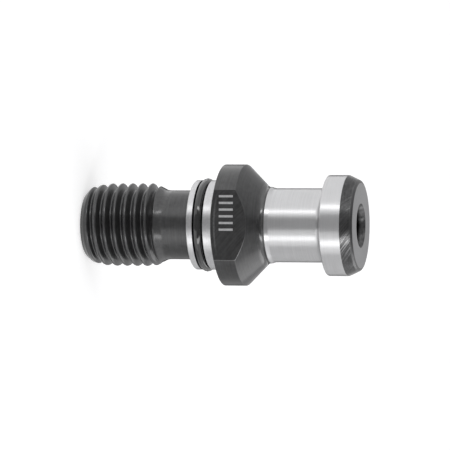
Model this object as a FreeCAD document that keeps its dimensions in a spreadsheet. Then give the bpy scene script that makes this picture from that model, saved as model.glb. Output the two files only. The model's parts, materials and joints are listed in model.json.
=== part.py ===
# Pull stud for a size 40 taper tool holder, with its sealing ring.
# Millimetres, +Z up along the stud. The origin is the centre of the threaded end face.
# The two wrench flats face -Y and +Y.
import FreeCAD, Part
import os
import PartDesign
import Sketcher

os.makedirs("parts", exist_ok=True)
document = FreeCAD.newDocument("PullStud")

# Driving sizes. Heights are measured from the bearing face of the flange, except on the thread.
SIZES = {
    # stem with its thread, from the threaded end to the bearing face
    "stem_length": 26.4,
    "thread_major": 15.8,
    "thread_pitch": 2.0,
    "full_thread_length": 13.2,
    "first_crest_height": 1.65,
    "lead_end_diameter": 12.5,
    "lead_angle": 45.0,
    "runout_angle": 28.0,
    "relief_below_root": 0.1,
    # pilot collar and the groove of the sealing ring
    "collar_diameter": 17.0,
    "collar_length": 5.0,
    "collar_chamfer": 0.3,
    "groove_floor_diameter": 14.1,
    "ring_setback": 2.84,
    "ring_section": 1.78,
    "ring_seat_clearance": 0.02,
    "ring_side_clearance": 0.11,
    # flange with two wrench flats, and the cone above it
    "flange_diameter": 23.0,
    "flange_height": 4.8,
    "bearing_face_diameter": 19.1,
    "face_chamfer_height": 0.8,
    "flats_across": 18.9,
    "cone_angle": 45.0,
    "cone_root_radius": 1.2,
    # neck, left 0.2 mm thicker on the radius where the grinding wheel stops short of the cone
    "neck_diameter": 14.0,
    "unground_diameter": 14.4,
    "unground_land": 0.1,
    "grinding_taper_length": 0.7,
    # head that the gripper pulls on
    "grip_height": 20.1,
    "grip_face_angle": 15.0,
    "head_diameter": 19.0,
    "head_end_height": 26.8,
    "head_end_diameter": 16.5,
    "head_chamfer_angle": 30.0,
    "head_root_radius": 0.8,
    "head_edge_radius": 0.25,
    # coolant bore, right through
    "bore_diameter": 7.0,
    "mouth_diameter": 8.3,
    "mouth_angle": 60.0,
}

sheet = document.addObject("Spreadsheet::Sheet", "Sizes")
for row, (alias, size) in enumerate(SIZES.items(), start=1):
    sheet.set(f"A{row}", alias)
    sheet.set(f"B{row}", str(size))
    sheet.setAlias(f"B{row}", alias)
document.recompute()

# Proportions of an ISO metric external thread, as shares of its pitch.
THREAD_DEPTH_SHARE = 0.6134
THREAD_ROOT_FLAT_SHARE = 0.1667
FLANK_ANGLE = 30

# How far a cut reaches past the surface that it starts from.
CUT_PAST = 1.0


def radius(alias):
    return f"Sizes.{alias} / 2"


# Radii, as expressions.
MAJOR = radius("thread_major")
ROOT = f"{MAJOR} - {THREAD_DEPTH_SHARE} * Sizes.thread_pitch"
SHANK = f"{ROOT} - Sizes.relief_below_root"
LEAD_END = radius("lead_end_diameter")
COLLAR = radius("collar_diameter")
FLANGE = radius("flange_diameter")
UNGROUND = radius("unground_diameter")
NECK = radius("neck_diameter")
HEAD = radius("head_diameter")
HEAD_END = radius("head_end_diameter")
BORE = radius("bore_diameter")
MOUTH = radius("mouth_diameter")

# Heights above the threaded end, as expressions.
FACE = "Sizes.stem_length"
LEAD_TOP = f"({MAJOR} - {LEAD_END}) / tan(Sizes.lead_angle)"
RUNOUT_END = f"Sizes.full_thread_length + ({MAJOR} - ({SHANK})) / tan(Sizes.runout_angle)"
COLLAR_FOOT = f"{FACE} - Sizes.collar_length"
RING = f"{FACE} - Sizes.ring_setback"
FLANGE_TOP = f"{FACE} + Sizes.flange_height"
CONE_TOP = f"{FLANGE_TOP} + ({FLANGE} - {UNGROUND}) / tan(Sizes.cone_angle)"
UNGROUND_TOP = f"{CONE_TOP} + Sizes.cone_root_radius * tan(Sizes.cone_angle / 2) + Sizes.unground_land"
NECK_FOOT = f"{UNGROUND_TOP} + Sizes.grinding_taper_length"
NECK_TOP = f"{FACE} + Sizes.grip_height"
HEAD_FOOT = f"{NECK_TOP} + ({HEAD} - {NECK}) * tan(Sizes.grip_face_angle)"
HEAD_TOP = f"{FACE} + Sizes.head_end_height"
CHAMFER_FOOT = f"{HEAD_TOP} - ({HEAD} - {HEAD_END}) / tan(Sizes.head_chamfer_angle)"
MOUTH_DEPTH = f"({MOUTH} - {BORE}) / tan(Sizes.mouth_angle / 2)"


def value(expression):
    return float(sheet.evalExpression(expression))


def origin_feature(body, role):
    return next(feature for feature in body.Origin.OriginFeatures if feature.Role == role)


def outline(body, name, plane, corners):
    """Closed outline of straight edges. Each corner is named and gives its place across and up the plane."""
    sketch = body.newObject("Sketcher::SketchObject", name)
    sketch.AttachmentSupport = (origin_feature(body, plane), "")
    sketch.MapMode = "FlatFace"
    points = [FreeCAD.Vector(value(across), value(up), 0) for across, up in corners.values()]
    for start, end in zip(points, points[1:] + points[:1]):
        sketch.addGeometry(Part.LineSegment(start, end))
    for edge in range(len(points)):
        sketch.addConstraint(Sketcher.Constraint("Coincident", edge, 2, (edge + 1) % len(points), 1))
    for edge, (corner, places) in enumerate(corners.items()):
        for direction, suffix, place in zip(("DistanceX", "DistanceY"), ("across", "up"), places):
            index = sketch.addConstraint(Sketcher.Constraint(direction, -1, 1, edge, 1, value(place)))
            sketch.renameConstraint(index, f"{corner}_{suffix}")
            sketch.setExpression(f"Constraints.{corner}_{suffix}", place)
    document.recompute()
    return sketch


def ring_edge(feature, edge_radius, height):
    """Name of the feature's circular edge with this radius at this height, both given as expressions."""
    for number, edge in enumerate(feature.Shape.Edges, start=1):
        if not isinstance(edge.Curve, Part.Circle):
            continue
        same_radius = abs(edge.Curve.Radius - value(edge_radius)) < 0.001
        if same_radius and abs(edge.Curve.Center.z - value(height)) < 0.001:
            return f"Edge{number}"
    raise ValueError(f"no edge of radius {edge_radius} at height {height}")


def fillet(body, base, name, size, edge_radius, height):
    """Round the ring-shaped edge of the base feature at this radius and height."""
    rounding = body.newObject("PartDesign::Fillet", name)
    rounding.Base = (base, [ring_edge(base, edge_radius, height)])
    rounding.setExpression("Radius", size)
    document.recompute()
    return rounding


# Stud body, turned from one bar.
stud = document.addObject("PartDesign::Body", "StudBody")
stud.Label = "stud_body"
stud.Placement = FreeCAD.Placement()

stud_section = outline(stud, "StudSection", "XZ_Plane", {
    "tail_mouth": (MOUTH, "0"),
    "lead_end": (LEAD_END, "0"),
    "lead_top": (MAJOR, LEAD_TOP),
    "thread_top": (MAJOR, "Sizes.full_thread_length"),
    "runout_end": (SHANK, RUNOUT_END),
    "shank_top": (SHANK, COLLAR_FOOT),
    "collar_foot": (f"{COLLAR} - Sizes.collar_chamfer", COLLAR_FOOT),
    "collar_edge": (COLLAR, f"{COLLAR_FOOT} + Sizes.collar_chamfer"),
    "collar_top": (COLLAR, FACE),
    "face_rim": (radius("bearing_face_diameter"), FACE),
    "flange_foot": (FLANGE, f"{FACE} + Sizes.face_chamfer_height"),
    "flange_top": (FLANGE, FLANGE_TOP),
    "cone_top": (UNGROUND, CONE_TOP),
    "unground_top": (UNGROUND, UNGROUND_TOP),
    "neck_foot": (NECK, NECK_FOOT),
    "neck_top": (NECK, NECK_TOP),
    "head_foot": (HEAD, HEAD_FOOT),
    "chamfer_foot": (HEAD, CHAMFER_FOOT),
    "head_end": (HEAD_END, HEAD_TOP),
    "head_mouth": (MOUTH, HEAD_TOP),
    "bore_top": (BORE, f"{HEAD_TOP} - {MOUTH_DEPTH}"),
    "bore_foot": (BORE, MOUTH_DEPTH),
})
turned = stud.newObject("PartDesign::Revolution", "Turned")
turned.Profile = stud_section
turned.ReferenceAxis = (stud_section, ["V_Axis"])
turned.Angle = 360
document.recompute()

# Rounded corners that carry load: under the head, on its edge, and at the foot of the neck.
cone_root = fillet(stud, turned, "ConeRoot", "Sizes.cone_root_radius", UNGROUND, CONE_TOP)
head_root = fillet(stud, cone_root, "HeadRoot", "Sizes.head_root_radius", NECK, NECK_TOP)
head_edge = fillet(stud, head_root, "HeadEdge", "Sizes.head_edge_radius", HEAD, HEAD_FOOT)

# Groove for the sealing ring, as wide as the ring and its clearance on both sides.
HALF_GROOVE = "(Sizes.ring_section / 2 + Sizes.ring_side_clearance)"
GROOVE_FLOOR = radius("groove_floor_diameter")
GROOVE_MOUTH = f"{COLLAR} + {CUT_PAST}"
groove_section = outline(stud, "RingGrooveSection", "XZ_Plane", {
    "floor_low": (GROOVE_FLOOR, f"{RING} - {HALF_GROOVE}"),
    "mouth_low": (GROOVE_MOUTH, f"{RING} - {HALF_GROOVE}"),
    "mouth_high": (GROOVE_MOUTH, f"{RING} + {HALF_GROOVE}"),
    "floor_high": (GROOVE_FLOOR, f"{RING} + {HALF_GROOVE}"),
})
ring_groove = stud.newObject("PartDesign::Groove", "RingGroove")
ring_groove.Profile = groove_section
ring_groove.ReferenceAxis = (groove_section, ["V_Axis"])
ring_groove.Angle = 360
document.recompute()

# Two wrench flats, milled across the flange and into the cone on opposite sides.
FLAT = radius("flats_across")
flat_section = outline(stud, "FlatSection", "YZ_Plane", {
    "inner_low": (FLAT, f"{FACE} - {CUT_PAST}"),
    "outer_low": (f"{FLANGE} + {CUT_PAST}", f"{FACE} - {CUT_PAST}"),
    "outer_high": (f"{FLANGE} + {CUT_PAST}", CONE_TOP),
    "inner_high": (FLAT, CONE_TOP),
})
flat = stud.newObject("PartDesign::Pocket", "Flat")
flat.Profile = flat_section
flat.Midplane = True
flat.setExpression("Length", "Sizes.flange_diameter")
document.recompute()
flats = stud.newObject("PartDesign::PolarPattern", "Flats")
flats.Originals = [flat]
flats.Axis = (origin_feature(stud, "Z_Axis"), [""])
flats.Angle = 360
flats.Occurrences = 2
stud.Tip = flats
document.recompute()

# Right-hand thread. The groove's section starts below the end face and runs out over the relief.
TURNS_BELOW_END = 2
OPENING = "Sizes.thread_pitch / 16"
SECTION_HEIGHT = f"Sizes.first_crest_height + Sizes.thread_pitch / 2 - {TURNS_BELOW_END} * Sizes.thread_pitch"
HALF_ROOT = f"{THREAD_ROOT_FLAT_SHARE} / 2 * Sizes.thread_pitch"
HALF_OPENING = f"({HALF_ROOT} + ({MAJOR} - ({ROOT}) + {OPENING}) * tan({FLANK_ANGLE}))"
thread_section = outline(stud, "ThreadSection", "XZ_Plane", {
    "root_low": (ROOT, f"{SECTION_HEIGHT} - {HALF_ROOT}"),
    "opening_low": (f"{MAJOR} + {OPENING}", f"{SECTION_HEIGHT} - {HALF_OPENING}"),
    "opening_high": (f"{MAJOR} + {OPENING}", f"{SECTION_HEIGHT} + {HALF_OPENING}"),
    "root_high": (ROOT, f"{SECTION_HEIGHT} + {HALF_ROOT}"),
})
thread = stud.newObject("PartDesign::SubtractiveHelix", "Thread")
thread.Profile = thread_section
thread.ReferenceAxis = (thread_section, ["V_Axis"])
thread.Mode = "pitch-height-angle"
thread.setExpression("Pitch", "Sizes.thread_pitch")
thread.setExpression("Height", f"{RUNOUT_END} - ({SECTION_HEIGHT}) + Sizes.thread_pitch / 2")
document.recompute()

# Rubber sealing ring, seated on the floor of its groove.
o_ring = document.addObject("Part::Torus", "ORing")
o_ring.Label = "o_ring"
o_ring.setExpression("Radius1", f"{GROOVE_FLOOR} + Sizes.ring_seat_clearance + Sizes.ring_section / 2")
o_ring.setExpression("Radius2", "Sizes.ring_section / 2")
o_ring.setExpression(".Placement.Base.z", RING)
document.recompute()

# Every object has to be sound before anything is written.
for item in document.Objects:
    if "Invalid" in item.State or "Error" in item.State:
        raise RuntimeError(f"{item.Name} failed: {item.State}")

cuts = ((head_edge, ring_groove), (ring_groove, flats), (flats, thread))
for before, after in cuts:
    if after.Shape.Volume >= before.Shape.Volume:
        raise RuntimeError(f"{after.Name} cut nothing")

for piece in (stud, o_ring):
    if piece.Shape.isNull() or not piece.Shape.isValid():
        raise RuntimeError(f"{piece.Label} has no sound shape")
    if len(piece.Shape.Solids) != 1:
        raise RuntimeError(f"{piece.Label} is not one solid")
    piece.Shape.exportStep(f"parts/{piece.Label}.step")
    print(piece.Label, round(piece.Shape.Volume, 2), piece.Shape.BoundBox)
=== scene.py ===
import json
import math

import bpy
from mathutils import Matrix, Vector


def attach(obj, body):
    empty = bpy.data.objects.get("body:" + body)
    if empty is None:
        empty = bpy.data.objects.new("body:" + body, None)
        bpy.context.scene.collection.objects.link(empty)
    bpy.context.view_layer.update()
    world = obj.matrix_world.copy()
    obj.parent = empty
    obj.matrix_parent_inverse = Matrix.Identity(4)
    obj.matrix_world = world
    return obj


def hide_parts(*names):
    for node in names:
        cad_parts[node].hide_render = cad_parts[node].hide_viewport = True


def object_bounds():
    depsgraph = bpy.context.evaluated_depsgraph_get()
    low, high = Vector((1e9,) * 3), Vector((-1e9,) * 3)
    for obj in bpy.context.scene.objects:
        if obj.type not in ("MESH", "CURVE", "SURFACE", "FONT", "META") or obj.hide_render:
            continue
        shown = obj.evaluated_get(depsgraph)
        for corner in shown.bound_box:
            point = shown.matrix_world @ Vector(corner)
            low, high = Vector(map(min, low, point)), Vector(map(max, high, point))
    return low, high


# Pull stud of a size 40 tool holder, standing on its threaded end. Metres, +Z up along the stud, and the two
# wrench flats face -Y and +Y. Heights come from the places of the stud's mating faces.
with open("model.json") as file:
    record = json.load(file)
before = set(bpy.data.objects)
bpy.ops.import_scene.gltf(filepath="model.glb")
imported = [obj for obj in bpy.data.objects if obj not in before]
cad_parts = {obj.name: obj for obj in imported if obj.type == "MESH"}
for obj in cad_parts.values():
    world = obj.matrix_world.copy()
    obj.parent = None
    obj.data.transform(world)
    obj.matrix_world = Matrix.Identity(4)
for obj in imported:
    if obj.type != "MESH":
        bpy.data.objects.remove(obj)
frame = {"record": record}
cad_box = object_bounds()
mounts = {mount["name"]: Vector(mount["pos_m"]) for mount in frame["record"]["mounts"]}
bearing_height = mounts["bearing_face"].z
head_height = mounts["head_end_face"].z

# Stem. A bar of case-hardened steel is turned down to a plain shank above the thread, and left black. The
# stud's whole section is drawn as the lathe tool travels, from the shank up over the head and down the bore.
MM = 0.001
stem_crest_radius = 7.9 * MM
thread_pitch = 2.0 * MM
depth_of_pitch = 0.6134
thread_depth = depth_of_pitch * thread_pitch
relief_below_root = 0.1 * MM
shank_radius = stem_crest_radius - thread_depth - relief_below_root
thread_zone_height = 16.9 * MM
collar_length = 5.0 * MM
collar_foot_height = bearing_height - collar_length

corners = []


def turn_to(radius, height, finish, rounding=0.0, rounded=None):
    """Add a corner to the stud's section, with the finish that leads up to it, and that of its rounding."""
    place = Vector((radius, height))
    corners.append({"place": place, "finish": finish, "rounding": rounding, "rounded": rounded})


turn_to(shank_radius, thread_zone_height, "oxide")
turn_to(shank_radius, collar_foot_height, "oxide", rounding=0.15 * MM)

# Thread, M16 with a 2 mm pitch, right-hand. It is rolled into the blank, so its crests and roots are round
# and smooth. A 45 degree lead opens it, its first turns fill only in part, and its last one fades into the
# shank.
columns = 144
flank_angle = math.radians(30)
crest_rounding = 0.14 * thread_pitch
root_rounding = 0.12 * thread_pitch
arc_steps = 4
flank_steps = 6
first_crest_height = 1.65 * MM
full_thread_height = 13.2 * MM
lead_end_radius = 6.25 * MM
lead_slope = 1.0
first_turn_radius = 7.02 * MM
first_turn_slope = 0.23
runout_slope = math.tan(math.radians(28))
groove_fade_height = 13.4 * MM
groove_fade_slope = math.tan(math.radians(25))
blend = 0.5 * MM


def thread_form():
    """One pitch of the thread's section, from the middle of a crest to the middle of the next."""
    reach = math.pi / 2 - flank_angle
    swept = [reach * step / arc_steps for step in range(arc_steps + 1)]
    root_radius = stem_crest_radius - thread_depth
    crest = [
        (stem_crest_radius - crest_rounding * (1 - math.cos(angle)), crest_rounding * math.sin(angle))
        for angle in swept
    ]
    root = [
        (root_radius + root_rounding * (1 - math.cos(angle)),
         thread_pitch / 2 - root_rounding * math.sin(angle))
        for angle in reversed(swept)
    ]
    run = [
        (crest[-1][0] + (root[0][0] - crest[-1][0]) * step / flank_steps,
         crest[-1][1] + (root[0][1] - crest[-1][1]) * step / flank_steps)
        for step in range(1, flank_steps)
    ]
    falling = crest + run + root
    rising = [(radius, thread_pitch - height) for radius, height in reversed(falling[:-1])]
    return [(Vector(place), "thread", 0.0) for place in falling + rising]


def put(tree, kind, sockets=None, **settings):
    """Add a node. Each named input takes a value, or the output that it is linked to."""
    node = tree.nodes.new(kind)
    for name, setting in settings.items():
        setattr(node, name, setting)
    for name, source in (sockets or {}).items():
        if isinstance(source, bpy.types.NodeSocket):
            tree.links.new(source, node.inputs[name])
        else:
            node.inputs[name].default_value = source
    return node


def calc(tree, operation, *terms):
    """Add a Math node and return its result. Each term is a number or an output."""
    return put(tree, "ShaderNodeMath", dict(enumerate(terms)), operation=operation).outputs[0]


def count(tree, operation, *terms):
    """Add an Integer Math node and return its result."""
    return put(tree, "FunctionNodeIntegerMath", dict(enumerate(terms)), operation=operation).outputs[0]


def new_tree(name, inputs):
    """A Geometry Nodes tree with these named inputs beside its geometry."""
    tree = bpy.data.node_groups.new(name, "GeometryNodeTree")
    tree.interface.new_socket("Geometry", in_out="INPUT", socket_type="NodeSocketGeometry")
    for socket, kind in inputs.items():
        tree.interface.new_socket(socket, in_out="INPUT", socket_type=f"NodeSocket{kind}")
    tree.interface.new_socket("Geometry", in_out="OUTPUT", socket_type="NodeSocketGeometry")
    return tree, put(tree, "NodeGroupInput").outputs


def swing(tree, geometry, radius, angle, height):
    """Set each point at this radius, angle about Z and height."""
    across = calc(tree, "MULTIPLY", radius, calc(tree, "COSINE", angle))
    deep = calc(tree, "MULTIPLY", radius, calc(tree, "SINE", angle))
    place = put(tree, "ShaderNodeCombineXYZ", {"X": across, "Y": deep, "Z": height})
    moved = put(tree, "GeometryNodeSetPosition", {"Geometry": geometry, "Position": place.outputs[0]})
    return moved.outputs[0]


def store(tree, geometry, name, value, data_type, domain):
    """Store a value on the geometry under this name."""
    stored = put(tree, "GeometryNodeStoreNamedAttribute", {"Geometry": geometry, "Name": name},
                 data_type=data_type, domain=domain)
    if isinstance(value, bpy.types.NodeSocket):
        tree.links.new(value, stored.inputs["Value"])
    else:
        stored.inputs["Value"].default_value = value
    return stored.outputs[0]


weld_distance = 0.001 * MM
thread_inputs = {
    "Form": "Object", "Columns": "Int", "Pitch": "Float", "First Crest Height": "Float",
    "Full Thread Height": "Float", "Zone Height": "Float", "Crest Radius": "Float",
    "Lead End Radius": "Float", "Lead Slope": "Float", "First Turn Radius": "Float",
    "First Turn Slope": "Float", "Shank Radius": "Float", "Run-out Slope": "Float",
    "Groove Fade Height": "Float", "Groove Fade Slope": "Float", "Blend": "Float",
}


def thread_tree():
    """Sweep one pitch of the thread's form along its helix, cut by the lead and faded out by the run-out."""
    tree, given = new_tree("rolled_thread", {**thread_inputs, "Finish": "Int"})
    form = put(tree, "GeometryNodeObjectInfo", {"Object": given["Form"]}).outputs["Geometry"]
    rows = put(tree, "GeometryNodeAttributeDomainSize", {"Geometry": form}).outputs["Point Count"]
    spare_turns = 2
    turns = calc(tree, "ADD", calc(tree, "DIVIDE", given["Zone Height"], given["Pitch"]), 2 * spare_turns)
    steps = calc(tree, "CEIL", calc(tree, "MULTIPLY", turns, given["Columns"]))
    grid = put(tree, "GeometryNodeMeshGrid", {"Vertices X": steps, "Vertices Y": rows})
    index = put(tree, "GeometryNodeInputIndex").outputs[0]
    row = count(tree, "MODULO", index, rows)
    step = count(tree, "DIVIDE_FLOOR", index, rows)
    position = put(tree, "GeometryNodeInputPosition").outputs[0]
    drawn = put(tree, "GeometryNodeSampleIndex", {"Geometry": form, "Index": row},
                data_type="FLOAT_VECTOR", domain="POINT")
    tree.links.new(position, drawn.inputs["Value"])
    place = put(tree, "ShaderNodeSeparateXYZ", {"Vector": drawn.outputs[0]})
    turned = calc(tree, "SUBTRACT", calc(tree, "DIVIDE", step, given["Columns"]), spare_turns)
    climbed = calc(tree, "MULTIPLY_ADD", turned, given["Pitch"], given["First Crest Height"])
    height = calc(tree, "ADD", climbed, place.outputs["Z"])
    height = calc(tree, "MINIMUM", calc(tree, "MAXIMUM", height, 0.0), given["Zone Height"])
    lead = calc(tree, "MULTIPLY_ADD", height, given["Lead Slope"], given["Lead End Radius"])
    filling = calc(tree, "MULTIPLY_ADD", height, given["First Turn Slope"], given["First Turn Radius"])
    past = calc(tree, "SUBTRACT", height, given["Full Thread Height"])
    fallen = calc(tree, "MULTIPLY", past, given["Run-out Slope"])
    fading = calc(tree, "SUBTRACT", given["Crest Radius"], fallen)
    runout = calc(tree, "SMOOTH_MAX", fading, given["Shank Radius"], given["Blend"])
    shallowing = calc(tree, "SUBTRACT", height, given["Groove Fade Height"])
    floor = calc(tree, "MULTIPLY_ADD", shallowing, given["Groove Fade Slope"], given["Shank Radius"])
    cut = calc(tree, "MAXIMUM", place.outputs["X"], floor)
    filled = calc(tree, "SMOOTH_MIN", cut, filling, given["Blend"])
    half_blend = calc(tree, "MULTIPLY", given["Blend"], 0.5)
    radius = calc(tree, "SMOOTH_MIN", filled, calc(tree, "MINIMUM", lead, runout), half_blend)
    surface = swing(tree, grid.outputs["Mesh"], radius, calc(tree, "MULTIPLY", turned, math.tau), height)
    surface = store(tree, surface, "finish", given["Finish"], "INT", "FACE")
    merged = put(tree, "GeometryNodeMergeByDistance", {"Geometry": surface, "Distance": weld_distance})
    put(tree, "NodeGroupOutput", {"Geometry": merged.outputs[0]})
    return tree


def new_group(name, inputs):
    """A shader node group with these number inputs and one output."""
    tree = bpy.data.node_groups.new(name, "ShaderNodeTree")
    for socket, value in inputs.items():
        made = tree.interface.new_socket(socket, in_out="INPUT", socket_type="NodeSocketFloat")
        made.default_value = value
    tree.interface.new_socket("Value", in_out="OUTPUT", socket_type="NodeSocketFloat")
    return tree, put(tree, "NodeGroupInput").outputs


def object_place(tree):
    """X, Y and Z of the object's own coordinates."""
    vector = put(tree, "ShaderNodeTexCoord").outputs["Object"]
    parts = put(tree, "ShaderNodeSeparateXYZ", {"Vector": vector}).outputs
    return parts["X"], parts["Y"], parts["Z"]


def noise_at(tree, x, y, z, detail, roughness=0.6):
    """Noise, 0 to 1, at this place."""
    place = put(tree, "ShaderNodeCombineXYZ", {"X": x, "Y": y, "Z": z}).outputs[0]
    noise = put(tree, "ShaderNodeTexNoise", {
        "Vector": place, "Scale": 1.0, "Detail": detail, "Roughness": roughness,
    })
    return noise.outputs["Fac"]


def blotches():
    """Cloudy patches, this many per millimetre."""
    tree, given = new_group("blotches", {"Patches per mm": 0.5, "Detail": 4.0})
    scale = calc(tree, "DIVIDE", given["Patches per mm"], MM)
    scaled = [calc(tree, "MULTIPLY", part, scale) for part in object_place(tree)]
    put(tree, "NodeGroupOutput", {"Value": noise_at(tree, *scaled, given["Detail"])})
    return tree


def placed(tree, group, **inputs):
    """Place a shader group in a material. An input's name has its spaces written as underscores."""
    sockets = {name.replace("_", " "): value for name, value in inputs.items()}
    return put(tree, "ShaderNodeGroup", sockets, node_tree=group).outputs[0]


def between(tree, value, low, high, floor=0.0, ceiling=1.0):
    """The value, mapped from floor..ceiling to low..high."""
    return put(tree, "ShaderNodeMapRange", {
        "Value": value, "From Min": floor, "From Max": ceiling, "To Min": low, "To Max": high,
    }).outputs["Result"]


def clouded(tree, value, low, high):
    """Noise or a mix of noises, with its usual spread mapped to low..high."""
    return between(tree, value, low, high, 0.3, 0.7)


def blended(tree, first, second, share):
    """A mix of two values, with this share of the second."""
    return calc(tree, "MULTIPLY_ADD", first, 1.0 - share, calc(tree, "MULTIPLY", second, share))


cool_cast = 1.01


def grey_mix(tree, share, dark, light):
    """A colour between two greys with a faint blue cast, or between a colour and such a grey."""
    mix = put(tree, "ShaderNodeMix", {"Factor": share}, data_type="RGBA")
    for socket, shade in (("A", dark), ("B", light)):
        target = next(s for s in mix.inputs if s.name == socket and s.type == "RGBA")
        if isinstance(shade, bpy.types.NodeSocket):
            tree.links.new(shade, target)
        else:
            target.default_value = (shade, shade, shade * cool_cast, 1.0)
    return next(s for s in mix.outputs if s.type == "RGBA")


def new_material(name, **constants):
    """A material whose shader has these constant inputs."""
    material = bpy.data.materials.new(name)
    material.use_nodes = True
    tree = material.node_tree
    shader = tree.nodes["Principled BSDF"]
    for socket, value in constants.items():
        shader.inputs[socket.replace("_", " ")].default_value = value
    return material, tree, shader


def show(tree, shader, colour, roughness, height, depth):
    """Link a surface's colour and roughness, and its relief of this depth in metres."""
    tree.links.new(colour, shader.inputs["Base Color"])
    tree.links.new(roughness, shader.inputs["Roughness"])
    bump = put(tree, "ShaderNodeBump", {"Height": height, "Distance": depth, "Strength": 1.0})
    tree.links.new(bump.outputs["Normal"], shader.inputs["Normal"])
    tree.links.new(bump.outputs["Normal"], shader.inputs["Coat Normal"])


blotches_group = blotches()


def rolled_black():
    """Black oxide over the smooth flanks of the thread, under a film of oil. The lead stays darker."""
    material, tree, shader = new_material(
        "black_oxide_rolled", Metallic=0.85, Coat_Weight=0.65, Coat_Roughness=0.08)
    dark_lead_height = 1.0 * MM
    lead_fade = 0.4 * MM
    z = object_place(tree)[2]
    patches = placed(tree, blotches_group, Patches_per_mm=1.2)
    grain = placed(tree, blotches_group, Patches_per_mm=12.0, Detail=2.0)
    mixed = blended(tree, patches, grain, 0.4)
    oxide = grey_mix(tree, clouded(tree, mixed, 0.0, 1.0), 0.047, 0.085)
    lead = between(tree, z, 0.8, 0.0, dark_lead_height, dark_lead_height + lead_fade)
    colour = grey_mix(tree, lead, oxide, 0.02)
    show(tree, shader, colour, clouded(tree, mixed, 0.28, 0.4), grain, 0.003 * MM)
    return material


finishes = {"thread": rolled_black()}

# Pilot collar, ground to 17 mm to centre the stud in the holder. A groove round its middle holds the sealing
# ring, and the wheel doesn't reach into it. The flange's bearing face is ground in the same setting.
collar_radius = 8.5 * MM
collar_break = 0.15 * MM
ring_section_radius = 0.89 * MM
ring_setback = 2.84 * MM
ring_height = bearing_height - ring_setback
ring_clearance = 0.11 * MM
groove_floor_radius = 7.05 * MM
groove_half_width = ring_section_radius + ring_clearance
face_rim_radius = 9.55 * MM

turn_to(collar_radius - collar_break, collar_foot_height, "oxide", rounding=0.04 * MM)
turn_to(collar_radius, collar_foot_height + collar_break, "collar", rounding=0.06 * MM)
turn_to(collar_radius, ring_height - groove_half_width, "collar", rounding=0.08 * MM)
turn_to(groove_floor_radius, ring_height - groove_half_width, "oxide", rounding=0.1 * MM)
turn_to(groove_floor_radius, ring_height + groove_half_width, "oxide", rounding=0.1 * MM)
turn_to(collar_radius, ring_height + groove_half_width, "oxide", rounding=0.08 * MM)
turn_to(collar_radius, bearing_height, "collar", rounding=0.08 * MM)
turn_to(face_rim_radius, bearing_height, "collar", rounding=0.06 * MM)


def distance_between(tree, first, second):
    """Length of the vector with these two parts."""
    squares = calc(tree, "MULTIPLY_ADD", first, first, calc(tree, "MULTIPLY", second, second))
    return calc(tree, "SQRT", squares)


def tool_lines():
    """Lines round the axis, as a lathe tool or a wheel leaves them on cylinders and on flat faces alike."""
    tree, given = new_group("tool_lines", {"Lines per mm": 8.0, "Breaks per mm": 0.3, "Detail": 3.0})
    x, y, z = object_place(tree)
    radius_share = -0.7
    along = calc(tree, "MULTIPLY_ADD", distance_between(tree, x, y), radius_share, z)
    dense = calc(tree, "DIVIDE", given["Lines per mm"], MM)
    broken = calc(tree, "DIVIDE", given["Breaks per mm"], MM)
    lines = noise_at(
        tree, calc(tree, "MULTIPLY", x, broken), calc(tree, "MULTIPLY", y, broken),
        calc(tree, "MULTIPLY", along, dense), given["Detail"])
    put(tree, "NodeGroupOutput", {"Value": lines})
    return tree


def round_grain(tree, shader):
    """Point the shader's grain round the stud's axis."""
    tangent = put(tree, "ShaderNodeTangent", direction_type="RADIAL", axis="Z")
    tree.links.new(tangent.outputs["Tangent"], shader.inputs["Tangent"])


tool_lines_group = tool_lines()


def ground_steel(name, dark, light, breaks_per_mm, patches_per_mm, patch_share, smooth, rough):
    """Bare hardened steel from a grinding wheel: fine lines round the axis under cloudy patches."""
    material, tree, shader = new_material(name, Metallic=1.0, Anisotropic=0.85, Anisotropic_Rotation=0.25)
    lines = placed(tree, tool_lines_group, Lines_per_mm=7.0, Breaks_per_mm=breaks_per_mm, Detail=4.0)
    patches = placed(tree, blotches_group, Patches_per_mm=patches_per_mm)
    mixed = blended(tree, lines, patches, patch_share)
    colour = grey_mix(tree, clouded(tree, mixed, 0.0, 1.0), dark, light)
    show(tree, shader, colour, clouded(tree, mixed, smooth, rough), lines, 0.0008 * MM)
    round_grain(tree, shader)
    return material


finishes["collar"] = ground_steel(
    "ground_collar", 0.58, 0.76, breaks_per_mm=0.8, patches_per_mm=3.0, patch_share=0.6,
    smooth=0.38, rough=0.46)

# Flange and cone, turned and left black. The cone carries the pull of the neck into the flange. Black oxide
# is a thin dark skin that still shines like metal. The edges that spanners touch are painted lighter towards
# +X only, as wear with a painted highlight where the lamps catch them.
flange_radius = cad_box[1].x
flange_top_height = bearing_height + 4.8 * MM
face_chamfer_height = 0.7 * MM
flat_distance = abs(mounts["wrench_flat_front"].y)
unground_radius = 7.25 * MM
unground_top_height = 36.13 * MM
cone_top_height = flange_top_height + flange_radius - unground_radius
burnish_foot_height = cone_top_height - 0.7 * MM
burnish_full_height = cone_top_height - 0.3 * MM
burnish_end_height = cone_top_height + 0.25 * MM
burnish_stop_height = cone_top_height + 0.4 * MM

turn_to(flange_radius, bearing_height + face_chamfer_height, "oxide", rounding=0.06 * MM)
turn_to(flange_radius, flange_top_height, "oxide", rounding=0.2 * MM)
turn_to(unground_radius, cone_top_height, "oxide", rounding=0.8 * MM)
turn_to(unground_radius, unground_top_height, "oxide", rounding=0.02 * MM)


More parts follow.
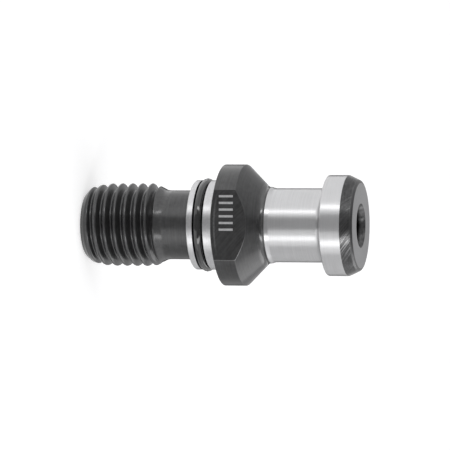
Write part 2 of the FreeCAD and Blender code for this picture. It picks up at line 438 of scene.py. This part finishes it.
def edge_wear_and_highlight():
    """Lighter edges, broken up by patches, as wear and as painted highlight: a worn edge, or another one
    near this distance.
    """
    tree, given = new_group("edge_wear_and_highlight", {"Worn": 0.0, "Distance": 1.0, "Width": 0.1 * MM, "Patches": 0.5})
    # Serves real wear on the chamfer and painted edge highlights on the flange, cone and flats.
    near = put(tree, "ShaderNodeMapRange", {
        "Value": given["Distance"], "From Min": 0.0, "From Max": given["Width"], "To Min": 1.0, "To Max": 0.0,
    }, interpolation_type="SMOOTHSTEP")
    edge = calc(tree, "MAXIMUM", given["Worn"], near.outputs["Result"])
    rubbed_and_highlit = between(tree, given["Patches"], 0.25, 1.0, 0.35, 0.65)
    put(tree, "NodeGroupOutput", {"Value": calc(tree, "MULTIPLY", edge, rubbed_and_highlit)})
    return tree


edge_wear_and_highlight_group = edge_wear_and_highlight()


def turned_black():
    """Black oxide on turned steel, burnished below the neck. Its edges on the cone are lighter towards +X,
    as wear with a painted highlight.
    """
    material, tree, shader = new_material(
        "black_oxide_turned", Metallic=1.0, Anisotropic=0.3, Anisotropic_Rotation=0.25,
        Coat_Weight=0.5, Coat_Roughness=0.16)
    turned_edge_wear_and_highlight = 0.14
    flat_edge_width = 0.14 * MM
    edge_fade = 0.5 * MM
    x, y, z = object_place(tree)
    lines = placed(tree, tool_lines_group, Lines_per_mm=5.0, Breaks_per_mm=0.15)
    patches = placed(tree, blotches_group, Patches_per_mm=0.7)
    grain = placed(tree, blotches_group, Patches_per_mm=9.0, Detail=2.0)
    worn = put(tree, "ShaderNodeAttribute", attribute_name="worn").outputs["Fac"]
    beside_flat = calc(tree, "ABSOLUTE", calc(tree, "SUBTRACT", calc(tree, "ABSOLUTE", y), flat_distance))
    turned_edge = calc(tree, "MULTIPLY", worn, turned_edge_wear_and_highlight)
    rubbed_and_highlit = placed(
        tree, edge_wear_and_highlight_group, Worn=turned_edge, Distance=beside_flat, Width=flat_edge_width, Patches=grain)
    # Painted highlight: the edges are lightened only towards +X, where the lamps catch them.
    highlit_side = between(tree, x, 0.06, 1.0, 2.2 * MM, 5.6 * MM)
    on_cone = between(tree, z, 0.22, 1.0, flange_top_height - edge_fade, flange_top_height + edge_fade)
    rubbed_and_highlit = calc(tree, "MULTIPLY", rubbed_and_highlit, calc(tree, "MULTIPLY", highlit_side, on_cone))
    mixed = blended(tree, lines, patches, 0.5)
    oxide = grey_mix(tree, clouded(tree, mixed, 0.0, 1.0), 0.055, 0.1)
    colour = grey_mix(tree, calc(tree, "MULTIPLY", rubbed_and_highlit, 0.95), oxide, 0.7)
    starting = between(tree, z, 0.0, 1.0, burnish_foot_height, burnish_full_height)
    stopping = between(tree, z, 1.0, 0.0, burnish_end_height, burnish_stop_height)
    burnished = calc(tree, "MULTIPLY", starting, stopping)
    colour = grey_mix(tree, calc(tree, "MULTIPLY", burnished, 0.35), colour, 0.16)
    smoothed = between(tree, burnished, 1.0, 0.38)
    rough = calc(tree, "MULTIPLY", clouded(tree, mixed, 0.36, 0.5), smoothed)
    show(tree, shader, colour, rough, blended(tree, lines, grain, 0.5), 0.008 * MM)
    round_grain(tree, shader)
    return material


finishes["oxide"] = turned_black()

# Two wrench flats, milled across the flange and into the cone on opposite sides after the turning. A face
# mill has left its arcs on them, and a faint light line near their lower edge is a painted highlight. A row
# of plain bars is etched bright on the front one.
mill_centre = (22 * MM, bearing_height + 26 * MM)
bar_count = 6
bar_spacing = 1.25 * MM
bar_length = 2.7 * MM
bar_width = 0.42 * MM
bar_middle = (-2.25 * MM, bearing_height + 3.0 * MM)
highlight_line_setback = 0.72 * MM
highlight_line_width = 0.28 * MM


def etched_bars(tree, x, y, z):
    """1 on a row of upright bars across the front flat, 0 elsewhere."""
    across = calc(tree, "SUBTRACT", x, bar_middle[0] - bar_spacing * bar_count / 2)
    share = calc(tree, "DIVIDE", across, bar_spacing)
    from_middle = calc(tree, "ABSOLUTE", calc(tree, "SUBTRACT", calc(tree, "FRACT", share), 0.5))
    beside = calc(tree, "LESS_THAN", from_middle, bar_width / bar_spacing / 2)
    from_row = calc(tree, "ABSOLUTE", calc(tree, "SUBTRACT", share, bar_count / 2))
    inside = calc(tree, "LESS_THAN", from_row, bar_count / 2)
    high = calc(tree, "ABSOLUTE", calc(tree, "SUBTRACT", z, bar_middle[1]))
    upright = calc(tree, "LESS_THAN", high, bar_length / 2)
    front = calc(tree, "LESS_THAN", y, 0.0)
    in_row = calc(tree, "MULTIPLY", beside, inside)
    return calc(tree, "MULTIPLY", in_row, calc(tree, "MULTIPLY", upright, front))


def milled_black():
    """Black oxide on milled steel: mill arcs, etched bars, and a painted highlight line near the lower edge.
    """
    material, tree, shader = new_material(
        "black_oxide_milled", Metallic=1.0, Coat_Weight=0.08, Coat_Roughness=0.25)
    x, y, z = object_place(tree)
    from_centre = distance_between(
        tree, calc(tree, "SUBTRACT", x, mill_centre[0]), calc(tree, "SUBTRACT", z, mill_centre[1]))
    arcs_per_mm = 3.0
    breaks_per_mm = 0.12
    arcs = noise_at(
        tree, calc(tree, "MULTIPLY", from_centre, arcs_per_mm / MM),
        calc(tree, "MULTIPLY", x, breaks_per_mm / MM), calc(tree, "MULTIPLY", z, breaks_per_mm / MM),
        4.0, roughness=0.65)
    patches = placed(tree, blotches_group, Patches_per_mm=1.1)
    grain = placed(tree, blotches_group, Patches_per_mm=8.0, Detail=2.0)
    mixed = blended(tree, arcs, patches, 0.4)
    oxide = grey_mix(tree, clouded(tree, mixed, 0.0, 1.0), 0.04, 0.085)
    # A light line just above each flat's lower edge, strongest in the middle of the flat: a painted
    # highlight.
    past_face = calc(tree, "SUBTRACT", distance_between(tree, x, y), face_rim_radius)
    chamfer_slope = face_chamfer_height / (flange_radius - face_rim_radius)
    low_edge = calc(tree, "MULTIPLY_ADD", past_face, chamfer_slope, bearing_height)
    line_height = calc(tree, "ADD", low_edge, highlight_line_setback)
    from_line = calc(tree, "ABSOLUTE", calc(tree, "SUBTRACT", z, line_height))
    rubbed_and_highlit = placed(tree, edge_wear_and_highlight_group, Distance=from_line, Width=highlight_line_width, Patches=grain)
    middle = between(tree, calc(tree, "ABSOLUTE", x), 0.3, 0.0, 2.0 * MM, 6.0 * MM)
    black_with_highlight_line = grey_mix(tree, calc(tree, "MULTIPLY", rubbed_and_highlit, middle), oxide, 0.5)
    etched = calc(tree, "MULTIPLY", etched_bars(tree, x, y, z), clouded(tree, grain, 0.7, 1.0))
    colour = grey_mix(tree, etched, black_with_highlight_line, 0.62)
    show(tree, shader, colour, clouded(tree, mixed, 0.42, 0.54), arcs, 0.006 * MM)
    return material


finishes["milled"] = milled_black()

# Neck, ground bright where the gripper's jaws run, up to the sloping underside of the head that they pull on.
# A radius at its foot and another under the head keep it from cracking there.
neck_radius = 7.0 * MM
neck_foot_height = unground_top_height + 0.7 * MM
grip_height = bearing_height + 20.1 * MM
head_radius = 9.5 * MM
underside_slope = math.tan(math.radians(15))
head_foot_height = grip_height + (head_radius - neck_radius) * underside_slope

turn_to(neck_radius, neck_foot_height, "ground", rounding=0.6 * MM)
turn_to(neck_radius, grip_height, "ground", rounding=0.8 * MM)
turn_to(head_radius, head_foot_height, "ground", rounding=0.25 * MM)

finishes["ground"] = ground_steel(
    "ground_steel", 0.545, 0.645, breaks_per_mm=0.12, patches_per_mm=0.35, patch_share=0.25,
    smooth=0.30, rough=0.36)

# Head. Its rim is ground with the neck. The long chamfer that guides it into the gripper stays black, scuffed
# by a belt, with one scuff brightened as a painted highlight, and rolls over into the end, which is ground
# last for the ejector to push on.
head_end_radius = 8.47 * MM
chamfer_angle = math.radians(25)
chamfer_foot_height = head_height - (head_radius - head_end_radius) / math.tan(chamfer_angle)

turn_to(head_radius, chamfer_foot_height, "ground", rounding=0.12 * MM)
turn_to(head_end_radius, head_height, "chamfer", rounding=0.7 * MM, rounded="oxide")


def scuffed_black():
    """Black oxide on the chamfer, finely lined, with slanting streaks that go through it at one scuff,
    which is placed and brightened as a painted highlight.
    """
    material, tree, shader = new_material(
        "black_chamfer", Metallic=1.0, Anisotropic=0.2, Anisotropic_Rotation=0.25,
        Coat_Weight=0.1, Coat_Roughness=0.2)
    x, y, z = object_place(tree)
    slant = 1.3
    streaks_per_mm = 5.5
    breaks_per_mm = 0.3
    highlit_scuff_middle = (3.4 * MM, -8.3 * MM)
    outward = put(tree, "ShaderNodeVectorMath", {
        0: put(tree, "ShaderNodeCombineXYZ", {"X": x, "Y": y}).outputs[0],
    }, operation="NORMALIZE").outputs[0]
    twisted = put(tree, "ShaderNodeVectorRotate", {
        "Vector": outward, "Angle": calc(tree, "MULTIPLY", z, slant / head_radius),
    }, rotation_type="Z_AXIS").outputs[0]
    part = put(tree, "ShaderNodeSeparateXYZ", {"Vector": twisted}).outputs
    round_scale = streaks_per_mm * head_radius / MM
    streaks = noise_at(
        tree, calc(tree, "MULTIPLY", part["X"], round_scale), calc(tree, "MULTIPLY", part["Y"], round_scale),
        calc(tree, "MULTIPLY", z, breaks_per_mm / MM), 3.0)
    worn = put(tree, "ShaderNodeAttribute", attribute_name="worn").outputs["Fac"]
    grain = placed(tree, blotches_group, Patches_per_mm=6.0, Detail=2.0)
    lines = placed(tree, tool_lines_group, Lines_per_mm=2.6, Breaks_per_mm=0.9)
    lined = blended(tree, lines, grain, 0.4)
    rubbed_and_highlit = placed(tree, edge_wear_and_highlight_group, Worn=worn, Patches=grain)
    patches = placed(tree, blotches_group, Patches_per_mm=0.35, Detail=2.0)
    # The scuff sits where a lamp's highlight falls on the chamfer; its bright streaks there are a painted
    # highlight.
    from_highlit_scuff = distance_between(
        tree, calc(tree, "SUBTRACT", x, highlit_scuff_middle[0]), calc(tree, "SUBTRACT", y, highlit_scuff_middle[1]))
    scuffed_and_highlit = between(tree, from_highlit_scuff, 1.0, 0.0, 1.4 * MM, 3.2 * MM)
    shown = calc(tree, "MAXIMUM", scuffed_and_highlit, between(tree, patches, 0.06, 0.3, 0.42, 0.62))
    scored = calc(tree, "MULTIPLY_ADD", calc(tree, "SUBTRACT", streaks, lined), shown, lined)
    through = calc(tree, "MULTIPLY", between(tree, streaks, 0.0, 1.0, 0.46, 0.68), shown)
    oxide = grey_mix(tree, clouded(tree, scored, 0.0, 1.0), 0.035, 0.11)
    bright = grey_mix(tree, calc(tree, "MULTIPLY", through, 0.95), oxide, 0.45)
    colour = grey_mix(tree, calc(tree, "MULTIPLY", rubbed_and_highlit, 0.5), bright, 0.45)
    show(tree, shader, colour, clouded(tree, scored, 0.4, 0.22), scored, 0.006 * MM)
    round_grain(tree, shader)
    return material


def ground_end():
    """The ground end: duller than the neck, because the wheel's face has crossed it."""
    material, tree, shader = new_material(
        "ground_end_face", Metallic=1.0, Anisotropic=0.3, Anisotropic_Rotation=0.25)
    lines = placed(tree, tool_lines_group, Lines_per_mm=6.0, Breaks_per_mm=0.5)
    grain = placed(tree, blotches_group, Patches_per_mm=6.0)
    mixed = blended(tree, lines, grain, 0.5)
    colour = grey_mix(tree, clouded(tree, mixed, 0.0, 1.0), 0.43, 0.55)
    show(tree, shader, colour, clouded(tree, mixed, 0.36, 0.48), mixed, 0.003 * MM)
    round_grain(tree, shader)
    return material


finishes["chamfer"] = scuffed_black()
finishes["end_face"] = ground_end()

# Coolant bore, drilled right through, with a 60 degree centre hole opened at both ends. The drill's rings
# show in its black wall. The last corner closes the section at the threaded end.
bore_radius = 3.5 * MM
mouth_radius = 4.15 * MM
mouth_half_angle = math.radians(30)
mouth_depth = (mouth_radius - bore_radius) / math.tan(mouth_half_angle)

turn_to(mouth_radius, head_height, "end_face", rounding=0.1 * MM)
turn_to(bore_radius, head_height - mouth_depth, "bore", rounding=0.15 * MM)
turn_to(bore_radius, mouth_depth, "bore", rounding=0.15 * MM)
turn_to(mouth_radius, 0.0, "bore", rounding=0.1 * MM)
turn_to(lead_end_radius, 0.0, "oxide")


def drilled_black():
    """Black oxide in the bore, its wall painted darker than the centre holes at its ends: painted shade."""
    material, tree, shader = new_material("black_bore", Metallic=1.0)
    x, y = object_place(tree)[:2]
    lines = placed(tree, tool_lines_group, Lines_per_mm=4.0, Breaks_per_mm=0.25)
    patches = placed(tree, blotches_group, Patches_per_mm=0.9)
    spread = between(tree, patches, 0.0, 1.0, 0.35, 0.65)
    wider = calc(tree, "SUBTRACT", distance_between(tree, x, y), bore_radius)
    opened = between(tree, wider, 0.0, 1.0, 0.05 * MM, 0.25 * MM)
    # The bore's wall is darker than any other oxide: painted shade inside the hole.
    drilled_and_shaded = grey_mix(tree, spread, 0.015, 0.05)
    colour = grey_mix(tree, opened, drilled_and_shaded, grey_mix(tree, spread, 0.05, 0.14))
    show(tree, shader, colour, clouded(tree, lines, 0.2, 0.42), lines, 0.006 * MM)
    return material


finishes["bore"] = drilled_black()


# The stud, one piece of steel: its section revolved, its thread rolled on, and the two flats milled away.
# Each face keeps the finish of the tool that made it.
def section_points(corners):
    """Points of a section with rounded corners: place, finish up to there, and 1 on an edge that wears."""
    hold = 0.05 * MM
    rounding_step = math.radians(12)
    points = []
    for number, corner in enumerate(corners):
        place, rounding = corner["place"], corner["rounding"]
        if rounding == 0.0:
            points.append((place, corner["finish"], 0.0))
            continue
        ahead_corner = corners[(number + 1) % len(corners)]
        back = corners[number - 1]["place"] - place
        ahead = ahead_corner["place"] - place
        half_angle = back.angle(ahead) / 2
        reach = rounding / math.tan(half_angle)
        back_length, ahead_length = back.length, ahead.length
        back.normalize()
        ahead.normalize()
        centre = place + (back + ahead).normalized() * rounding / math.sin(half_angle)
        start, end = place + back * reach - centre, place + ahead * reach - centre
        sweep = math.pi - 2 * half_angle
        worn = 1.0 if back.cross(ahead) < 0 else 0.0
        steps = max(2, round(sweep / rounding_step))
        if back_length > reach + 3 * hold:
            points.append((place + back * (reach + hold), corner["finish"], 0.0))
        for step in range(steps + 1):
            share = step / steps
            turned = start * math.sin((1 - share) * sweep) + end * math.sin(share * sweep)
            finish = corner["finish"]
            if corner["rounded"] and step > 0:
                finish = corner["rounded"]
            elif share > 0.5:
                finish = ahead_corner["finish"]
            points.append((centre + turned / math.sin(sweep), finish, worn))
        if ahead_length > reach + 3 * hold:
            points.append((place + ahead * (reach + hold), ahead_corner["finish"], 0.0))
    return points


def finish_number(name):
    """The number that stands for a finish on the faces."""
    return list(finishes).index(name)


def draw_section(name, points):
    """A chain of edges in the XZ plane, with each edge's finish and each point's wear."""
    mesh = bpy.data.meshes.new(name)
    edges = [(number, number + 1) for number in range(len(points) - 1)]
    mesh.from_pydata([(place.x, 0.0, place.y) for place, finish, worn in points], edges, [])
    finish_of = mesh.attributes.new("finish", "INT", "EDGE")
    finish_of.data.foreach_set("value", [finish_number(finish) for place, finish, worn in points[1:]])
    worn_at = mesh.attributes.new("worn", "FLOAT", "POINT")
    worn_at.data.foreach_set("value", [worn for place, finish, worn in points])
    piece = bpy.data.objects.new(name, mesh)
    bpy.context.scene.collection.objects.link(piece)
    return piece


def lathe_tree():
    """Revolve the drawn section: one column of points for each step round, one row for each point of it."""
    tree, given = new_tree("lathe", {"Columns": "Int"})
    section = given["Geometry"]
    size = put(tree, "GeometryNodeAttributeDomainSize", {"Geometry": section})
    rows = size.outputs["Point Count"]
    round_steps = count(tree, "ADD", given["Columns"], 1)
    grid = put(tree, "GeometryNodeMeshGrid", {"Vertices X": round_steps, "Vertices Y": rows})
    surface = grid.outputs["Mesh"]
    index = put(tree, "GeometryNodeInputIndex").outputs[0]
    row = count(tree, "MODULO", index, rows)
    column = count(tree, "DIVIDE_FLOOR", index, rows)
    strip = count(tree, "MODULO", index, size.outputs["Edge Count"])
    for name, kind, drawn_on, kept_on, number in (
        ("worn", "FLOAT", "POINT", "POINT", row), ("finish", "INT", "EDGE", "FACE", strip)
    ):
        drawn = put(tree, "GeometryNodeInputNamedAttribute", {"Name": name}, data_type=kind).outputs[0]
        sample = put(tree, "GeometryNodeSampleIndex", {"Geometry": section, "Index": number},
                     data_type=kind, domain=drawn_on)
        tree.links.new(drawn, sample.inputs["Value"])
        surface = store(tree, surface, name, sample.outputs[0], kind, kept_on)
    position = put(tree, "GeometryNodeInputPosition").outputs[0]
    corner = put(tree, "GeometryNodeSampleIndex", {"Geometry": section, "Index": row},
                 data_type="FLOAT_VECTOR", domain="POINT")
    tree.links.new(position, corner.inputs["Value"])
    place = put(tree, "ShaderNodeSeparateXYZ", {"Vector": corner.outputs[0]})
    angle = calc(tree, "MULTIPLY", column, calc(tree, "DIVIDE", math.tau, given["Columns"]))
    surface = swing(tree, surface, place.outputs["X"], angle, place.outputs["Z"])
    merged = put(tree, "GeometryNodeMergeByDistance", {"Geometry": surface, "Distance": weld_distance})
    put(tree, "NodeGroupOutput", {"Geometry": merged.outputs[0]})
    return tree


def finish_tree(tree, surface, names):
    """Make instances real and give each face the material of its finish."""
    surface = put(tree, "GeometryNodeRealizeInstances", {"Geometry": surface}).outputs[0]
    finish = put(tree, "GeometryNodeInputNamedAttribute", {"Name": "finish"}, data_type="INT").outputs[0]
    for name in names:
        chosen = put(tree, "FunctionNodeCompare", {2: finish, 3: finish_number(name)},
                     data_type="INT", operation="EQUAL")
        surface = put(tree, "GeometryNodeSetMaterial", {
            "Geometry": surface, "Selection": chosen.outputs[0], "Material": finishes[name],
        }).outputs[0]
    put(tree, "NodeGroupOutput", {"Geometry": surface})


def stud_tree():
    """The stud in one closed surface: the turned section, the rolled thread, and two cutters taken away."""
    tree, given = new_tree("stud", {
        **thread_inputs, "Flat Distance": "Float", "Cutter Width": "Float", "Cutter Foot": "Float",
        "Cutter Top": "Float",
    })
    turned = put(tree, "GeometryNodeGroup", {
        "Geometry": given["Geometry"], "Columns": given["Columns"],
    }, node_tree=lathe).outputs[0]
    threaded = put(tree, "GeometryNodeGroup", {
        **{socket: given[socket] for socket in thread_inputs}, "Finish": finish_number("thread"),
    }, node_tree=rolled_thread).outputs[0]
    both = put(tree, "GeometryNodeJoinGeometry")
    for surface in (turned, threaded):
        tree.links.new(surface, both.inputs[0])
    whole = put(tree, "GeometryNodeMergeByDistance", {"Geometry": both.outputs[0], "Distance": weld_distance})
    tall = calc(tree, "SUBTRACT", given["Cutter Top"], given["Cutter Foot"])
    middle = calc(tree, "DIVIDE", calc(tree, "ADD", given["Cutter Top"], given["Cutter Foot"]), 2.0)
    deep = calc(tree, "MULTIPLY", given["Cutter Width"], 0.25)
    size = put(tree, "ShaderNodeCombineXYZ", {"X": given["Cutter Width"], "Y": deep, "Z": tall})
    cutter = put(tree, "GeometryNodeMeshCube", {"Size": size.outputs[0]}).outputs["Mesh"]
    cutter = store(tree, cutter, "finish", finish_number("milled"), "INT", "FACE")
    out = calc(tree, "ADD", given["Flat Distance"], calc(tree, "DIVIDE", deep, 2.0))
    place = put(tree, "ShaderNodeCombineXYZ", {"X": 0.0, "Y": out, "Z": middle})
    back = put(tree, "GeometryNodeTransform", {"Geometry": cutter, "Translation": place.outputs[0]})
    front = put(tree, "GeometryNodeTransform", {"Geometry": back.outputs[0], "Rotation": (0.0, 0.0, math.pi)})
    milled = put(tree, "GeometryNodeMeshBoolean", {"Mesh 1": whole.outputs[0]},
                 operation="DIFFERENCE", solver="MANIFOLD")
    for cutter in (back, front):
        tree.links.new(cutter.outputs[0], milled.inputs["Mesh 2"])
    finish_tree(tree, milled.outputs["Mesh"], list(finishes))
    return tree


sharp_angle = math.radians(32)


def make(piece, tree, values):
    """Run a tree with these inputs on the piece, and keep the result as its plain mesh."""
    modifier = piece.modifiers.new(tree.name, "NODES")
    modifier.node_group = tree
    for item in tree.interface.items_tree:
        if item.in_out == "INPUT" and item.name in values:
            modifier[item.identifier] = values[item.name]
    depsgraph = bpy.context.evaluated_depsgraph_get()
    made = bpy.data.meshes.new_from_object(piece.evaluated_get(depsgraph))
    piece.modifiers.remove(modifier)
    piece.data = made
    made.materials.pop(index=0)
    made.shade_smooth()
    made.set_sharp_from_angle(angle=sharp_angle)
    return piece


lathe = lathe_tree()
rolled_thread = thread_tree()
form = draw_section("thread_form", thread_form())
stud = make(draw_section("stud", section_points(corners)), stud_tree(), {
    "Form": form, "Columns": columns, "Pitch": thread_pitch, "First Crest Height": first_crest_height,
    "Full Thread Height": full_thread_height, "Zone Height": thread_zone_height,
    "Crest Radius": stem_crest_radius, "Lead End Radius": lead_end_radius, "Lead Slope": lead_slope,
    "First Turn Radius": first_turn_radius, "First Turn Slope": first_turn_slope,
    "Shank Radius": shank_radius, "Run-out Slope": runout_slope, "Groove Fade Height": groove_fade_height,
    "Groove Fade Slope": groove_fade_slope, "Blend": blend, "Flat Distance": flat_distance,
    "Cutter Width": 3 * flange_radius, "Cutter Foot": bearing_height - 1.0 * MM,
    "Cutter Top": cone_top_height,
})
bpy.data.objects.remove(form)
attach(stud, "root")
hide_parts("stud_body")

# Sealing ring, a 1.78 mm section of black nitrile rubber moulded in one ring, stretched into the collar's
# groove. A thin line round its middle is where the mould's halves met.
gap_under_ring = 0.02 * MM
ring_centre_radius = groove_floor_radius + gap_under_ring + ring_section_radius
flash_height = 0.015 * MM
flash_half_angle = math.radians(3)
ring_steps = 48


def ring_section():
    """The ring's round section, with a small ridge where the mould's halves met."""
    ridge = [(0.0, ring_section_radius)]
    swept = math.tau - 2 * flash_half_angle
    round_part = [
        (flash_half_angle + swept * step / ring_steps, ring_section_radius - flash_height)
        for step in range(ring_steps + 1)
    ]
    points = []
    for angle, reach in ridge + round_part + ridge:
        place = Vector((ring_centre_radius + reach * math.cos(angle), ring_height + reach * math.sin(angle)))
        points.append((place, "rubber", 0.0))
    return points


def moulded_rubber():
    """Black nitrile rubber with an oily sheen over its fine moulded grain."""
    material, tree, shader = new_material(
        "black_rubber", Metallic=0.0, Specular_IOR_Level=0.7, Coat_Weight=0.6, Coat_Roughness=0.02)
    grain = placed(tree, blotches_group, Patches_per_mm=7.0, Detail=3.0)
    patches = placed(tree, blotches_group, Patches_per_mm=0.8)
    mixed = blended(tree, grain, patches, 0.5)
    colour = grey_mix(tree, clouded(tree, mixed, 0.0, 1.0), 0.003, 0.01)
    show(tree, shader, colour, clouded(tree, mixed, 0.05, 0.09), grain, 0.0015 * MM)
    return material


def ring_tree():
    """The ring's section, revolved."""
    tree, given = new_tree("ring", {"Columns": "Int"})
    turned = put(tree, "GeometryNodeGroup", {
        "Geometry": given["Geometry"], "Columns": given["Columns"],
    }, node_tree=lathe).outputs[0]
    finish_tree(tree, turned, ["rubber"])
    return tree


finishes["rubber"] = moulded_rubber()
sealing_ring = make(draw_section("sealing_ring", ring_section()), ring_tree(), {"Columns": columns})
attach(sealing_ring, "root")
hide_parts("o_ring")

# Table, white, with grey cards laid on it that only reflections see. They give the ground places their dark
# band between two bright ones, as the far side of the room does in a workshop.
table_reach = 3.0
table_rim_steps = 96
table_glow = 0.52
card_near = 12 * MM
card_far = 400 * MM
card_height = 0.2 * MM
card_steps = 8
cards = {"front": (-6.0, 41.0, 0.48), "right": (108.0, 84.0, 0.70), "back": (180.0, 60.0, 0.15)}


def round_about(azimuth, distance, height):
    """A point round the stud. Azimuth 0 is towards the camera and 90 towards +X, in degrees."""
    angle = math.radians(azimuth)
    return Vector((distance * math.sin(angle), -distance * math.cos(angle), height))


def matt_grey(name, shade):
    """A plain matt grey for the studio's own things."""
    material, tree, shader = new_material(name, Roughness=0.9, Specular_IOR_Level=0.1)
    shader.inputs["Base Color"].default_value = (shade, shade, shade, 1.0)
    return material, tree, shader


def stage_face(name, points, material):
    """One flat face that isn't part of the object."""
    mesh = bpy.data.meshes.new(name)
    mesh.from_pydata(points, [], [list(range(len(points)))])
    mesh.materials.append(material)
    piece = bpy.data.objects.new(name, mesh)
    bpy.context.scene.collection.objects.link(piece)
    return piece


table_white, tree, shader = matt_grey("white_table", 0.8)
path = put(tree, "ShaderNodeLightPath").outputs
seen = calc(tree, "MAXIMUM", path["Is Camera Ray"],
            calc(tree, "MAXIMUM", path["Is Glossy Ray"], path["Is Transmission Ray"]))
shader.inputs["Emission Color"].default_value = (1.0, 1.0, 1.0, 1.0)
tree.links.new(calc(tree, "MULTIPLY", seen, table_glow), shader.inputs["Emission Strength"])
rim = [round_about(360 * step / table_rim_steps, table_reach, 0.0) for step in range(table_rim_steps)]
stage_face("table", rim, table_white)

for side, (azimuth, width, shade) in cards.items():
    turns = [azimuth + width * (step / card_steps - 0.5) for step in range(card_steps + 1)]
    points = [round_about(turn, card_near, card_height) for turn in turns]
    points += [round_about(turn, card_far, card_height) for turn in reversed(turns)]
    card = stage_face(f"{side}_card", points, matt_grey(f"{side}_card_grey", shade)[0])
    card.visible_camera = card.visible_diffuse = card.visible_shadow = False


# Lamps, three soft ones that aren't seen themselves, and the walls: white, dim behind the camera, greyer
# behind the stud and overhead. Radiance 1 is as bright as a white wall.
def soft_lamp(name, azimuth, distance, foot, width, height, radiance):
    """A soft lamp that stands upright round the stud and faces its axis."""
    lamp = bpy.data.lights.new(name, "AREA")
    lamp.shape = "RECTANGLE"
    lamp.size = width
    lamp.size_y = height
    lamp.energy = radiance * math.pi * width * height
    stand = bpy.data.objects.new(name, lamp)
    stand.location = round_about(azimuth, distance, foot + height / 2)
    facing = Vector((-stand.location.x, -stand.location.y, 0.0))
    stand.rotation_euler = facing.to_track_quat("-Z", "Y").to_euler()
    stand.visible_camera = False
    bpy.context.scene.collection.objects.link(stand)
    return stand


soft_lamp("front_left", azimuth=-42.0, distance=420 * MM, foot=1 * MM, width=60 * MM, height=320 * MM,
          radiance=3.9)
soft_lamp("front_right", azimuth=40.5, distance=420 * MM, foot=1 * MM, width=100 * MM, height=560 * MM,
          radiance=2.75)
high = soft_lamp("high_right", azimuth=128.0, distance=300 * MM, foot=135 * MM, width=220 * MM,
                 height=220 * MM, radiance=1.1)
high.rotation_euler = (-high.location).to_track_quat("-Z", "Y").to_euler()

world = bpy.data.worlds.new("studio_walls")
world.use_nodes = True
bpy.context.scene.world = world
tree = world.node_tree
direction = put(tree, "ShaderNodeTexCoord").outputs["Generated"]
parts = put(tree, "ShaderNodeSeparateXYZ", {"Vector": direction}).outputs
heading = calc(tree, "DIVIDE", parts["Y"], distance_between(tree, parts["X"], parts["Y"]))
behind_camera = between(tree, heading, 0.35, 1.0, -0.88, -0.66)
behind_stud = between(tree, heading, 1.0, 0.5, 0.3, 0.95)
overhead = between(tree, parts["Z"], 1.0, 0.55, 0.55, 0.95)
level = calc(tree, "MULTIPLY", calc(tree, "MULTIPLY", behind_camera, behind_stud), overhead)
seen = put(tree, "ShaderNodeLightPath").outputs["Is Camera Ray"]
walls = grey_mix(tree, calc(tree, "MAXIMUM", level, seen), 0.0, 1.0)
tree.links.new(walls, tree.nodes["Background"].inputs["Color"])

# Camera, a long lens a little above the stud and rolled on its side, so that the stud lies across the picture
# with its head to the right.
camera_distance = 573 * MM
camera_elevation = math.radians(14.38)
camera_target = Vector((0.0, 0.0, 26.845 * MM))
camera_roll = math.radians(0.27)
camera_lens = 241.4

camera = bpy.data.objects.new("camera", bpy.data.cameras.new("camera"))
bpy.context.scene.collection.objects.link(camera)
bpy.context.scene.camera = camera
camera.data.lens = camera_lens
camera.data.clip_start = 10 * MM
toward = Vector((0.0, -math.cos(camera_elevation), math.sin(camera_elevation)))
stud_axis = Vector((0.0, math.sin(camera_elevation), math.cos(camera_elevation)))
across = Vector((-1.0, 0.0, 0.0))
right = stud_axis * math.cos(camera_roll) + across * math.sin(camera_roll)
up = across * math.cos(camera_roll) - stud_axis * math.sin(camera_roll)
turned = Matrix((right, up, toward)).transposed()
camera.matrix_world = Matrix.Translation(camera_target + toward * camera_distance) @ turned.to_4x4()

bpy.context.scene.view_settings.view_transform = "Standard"
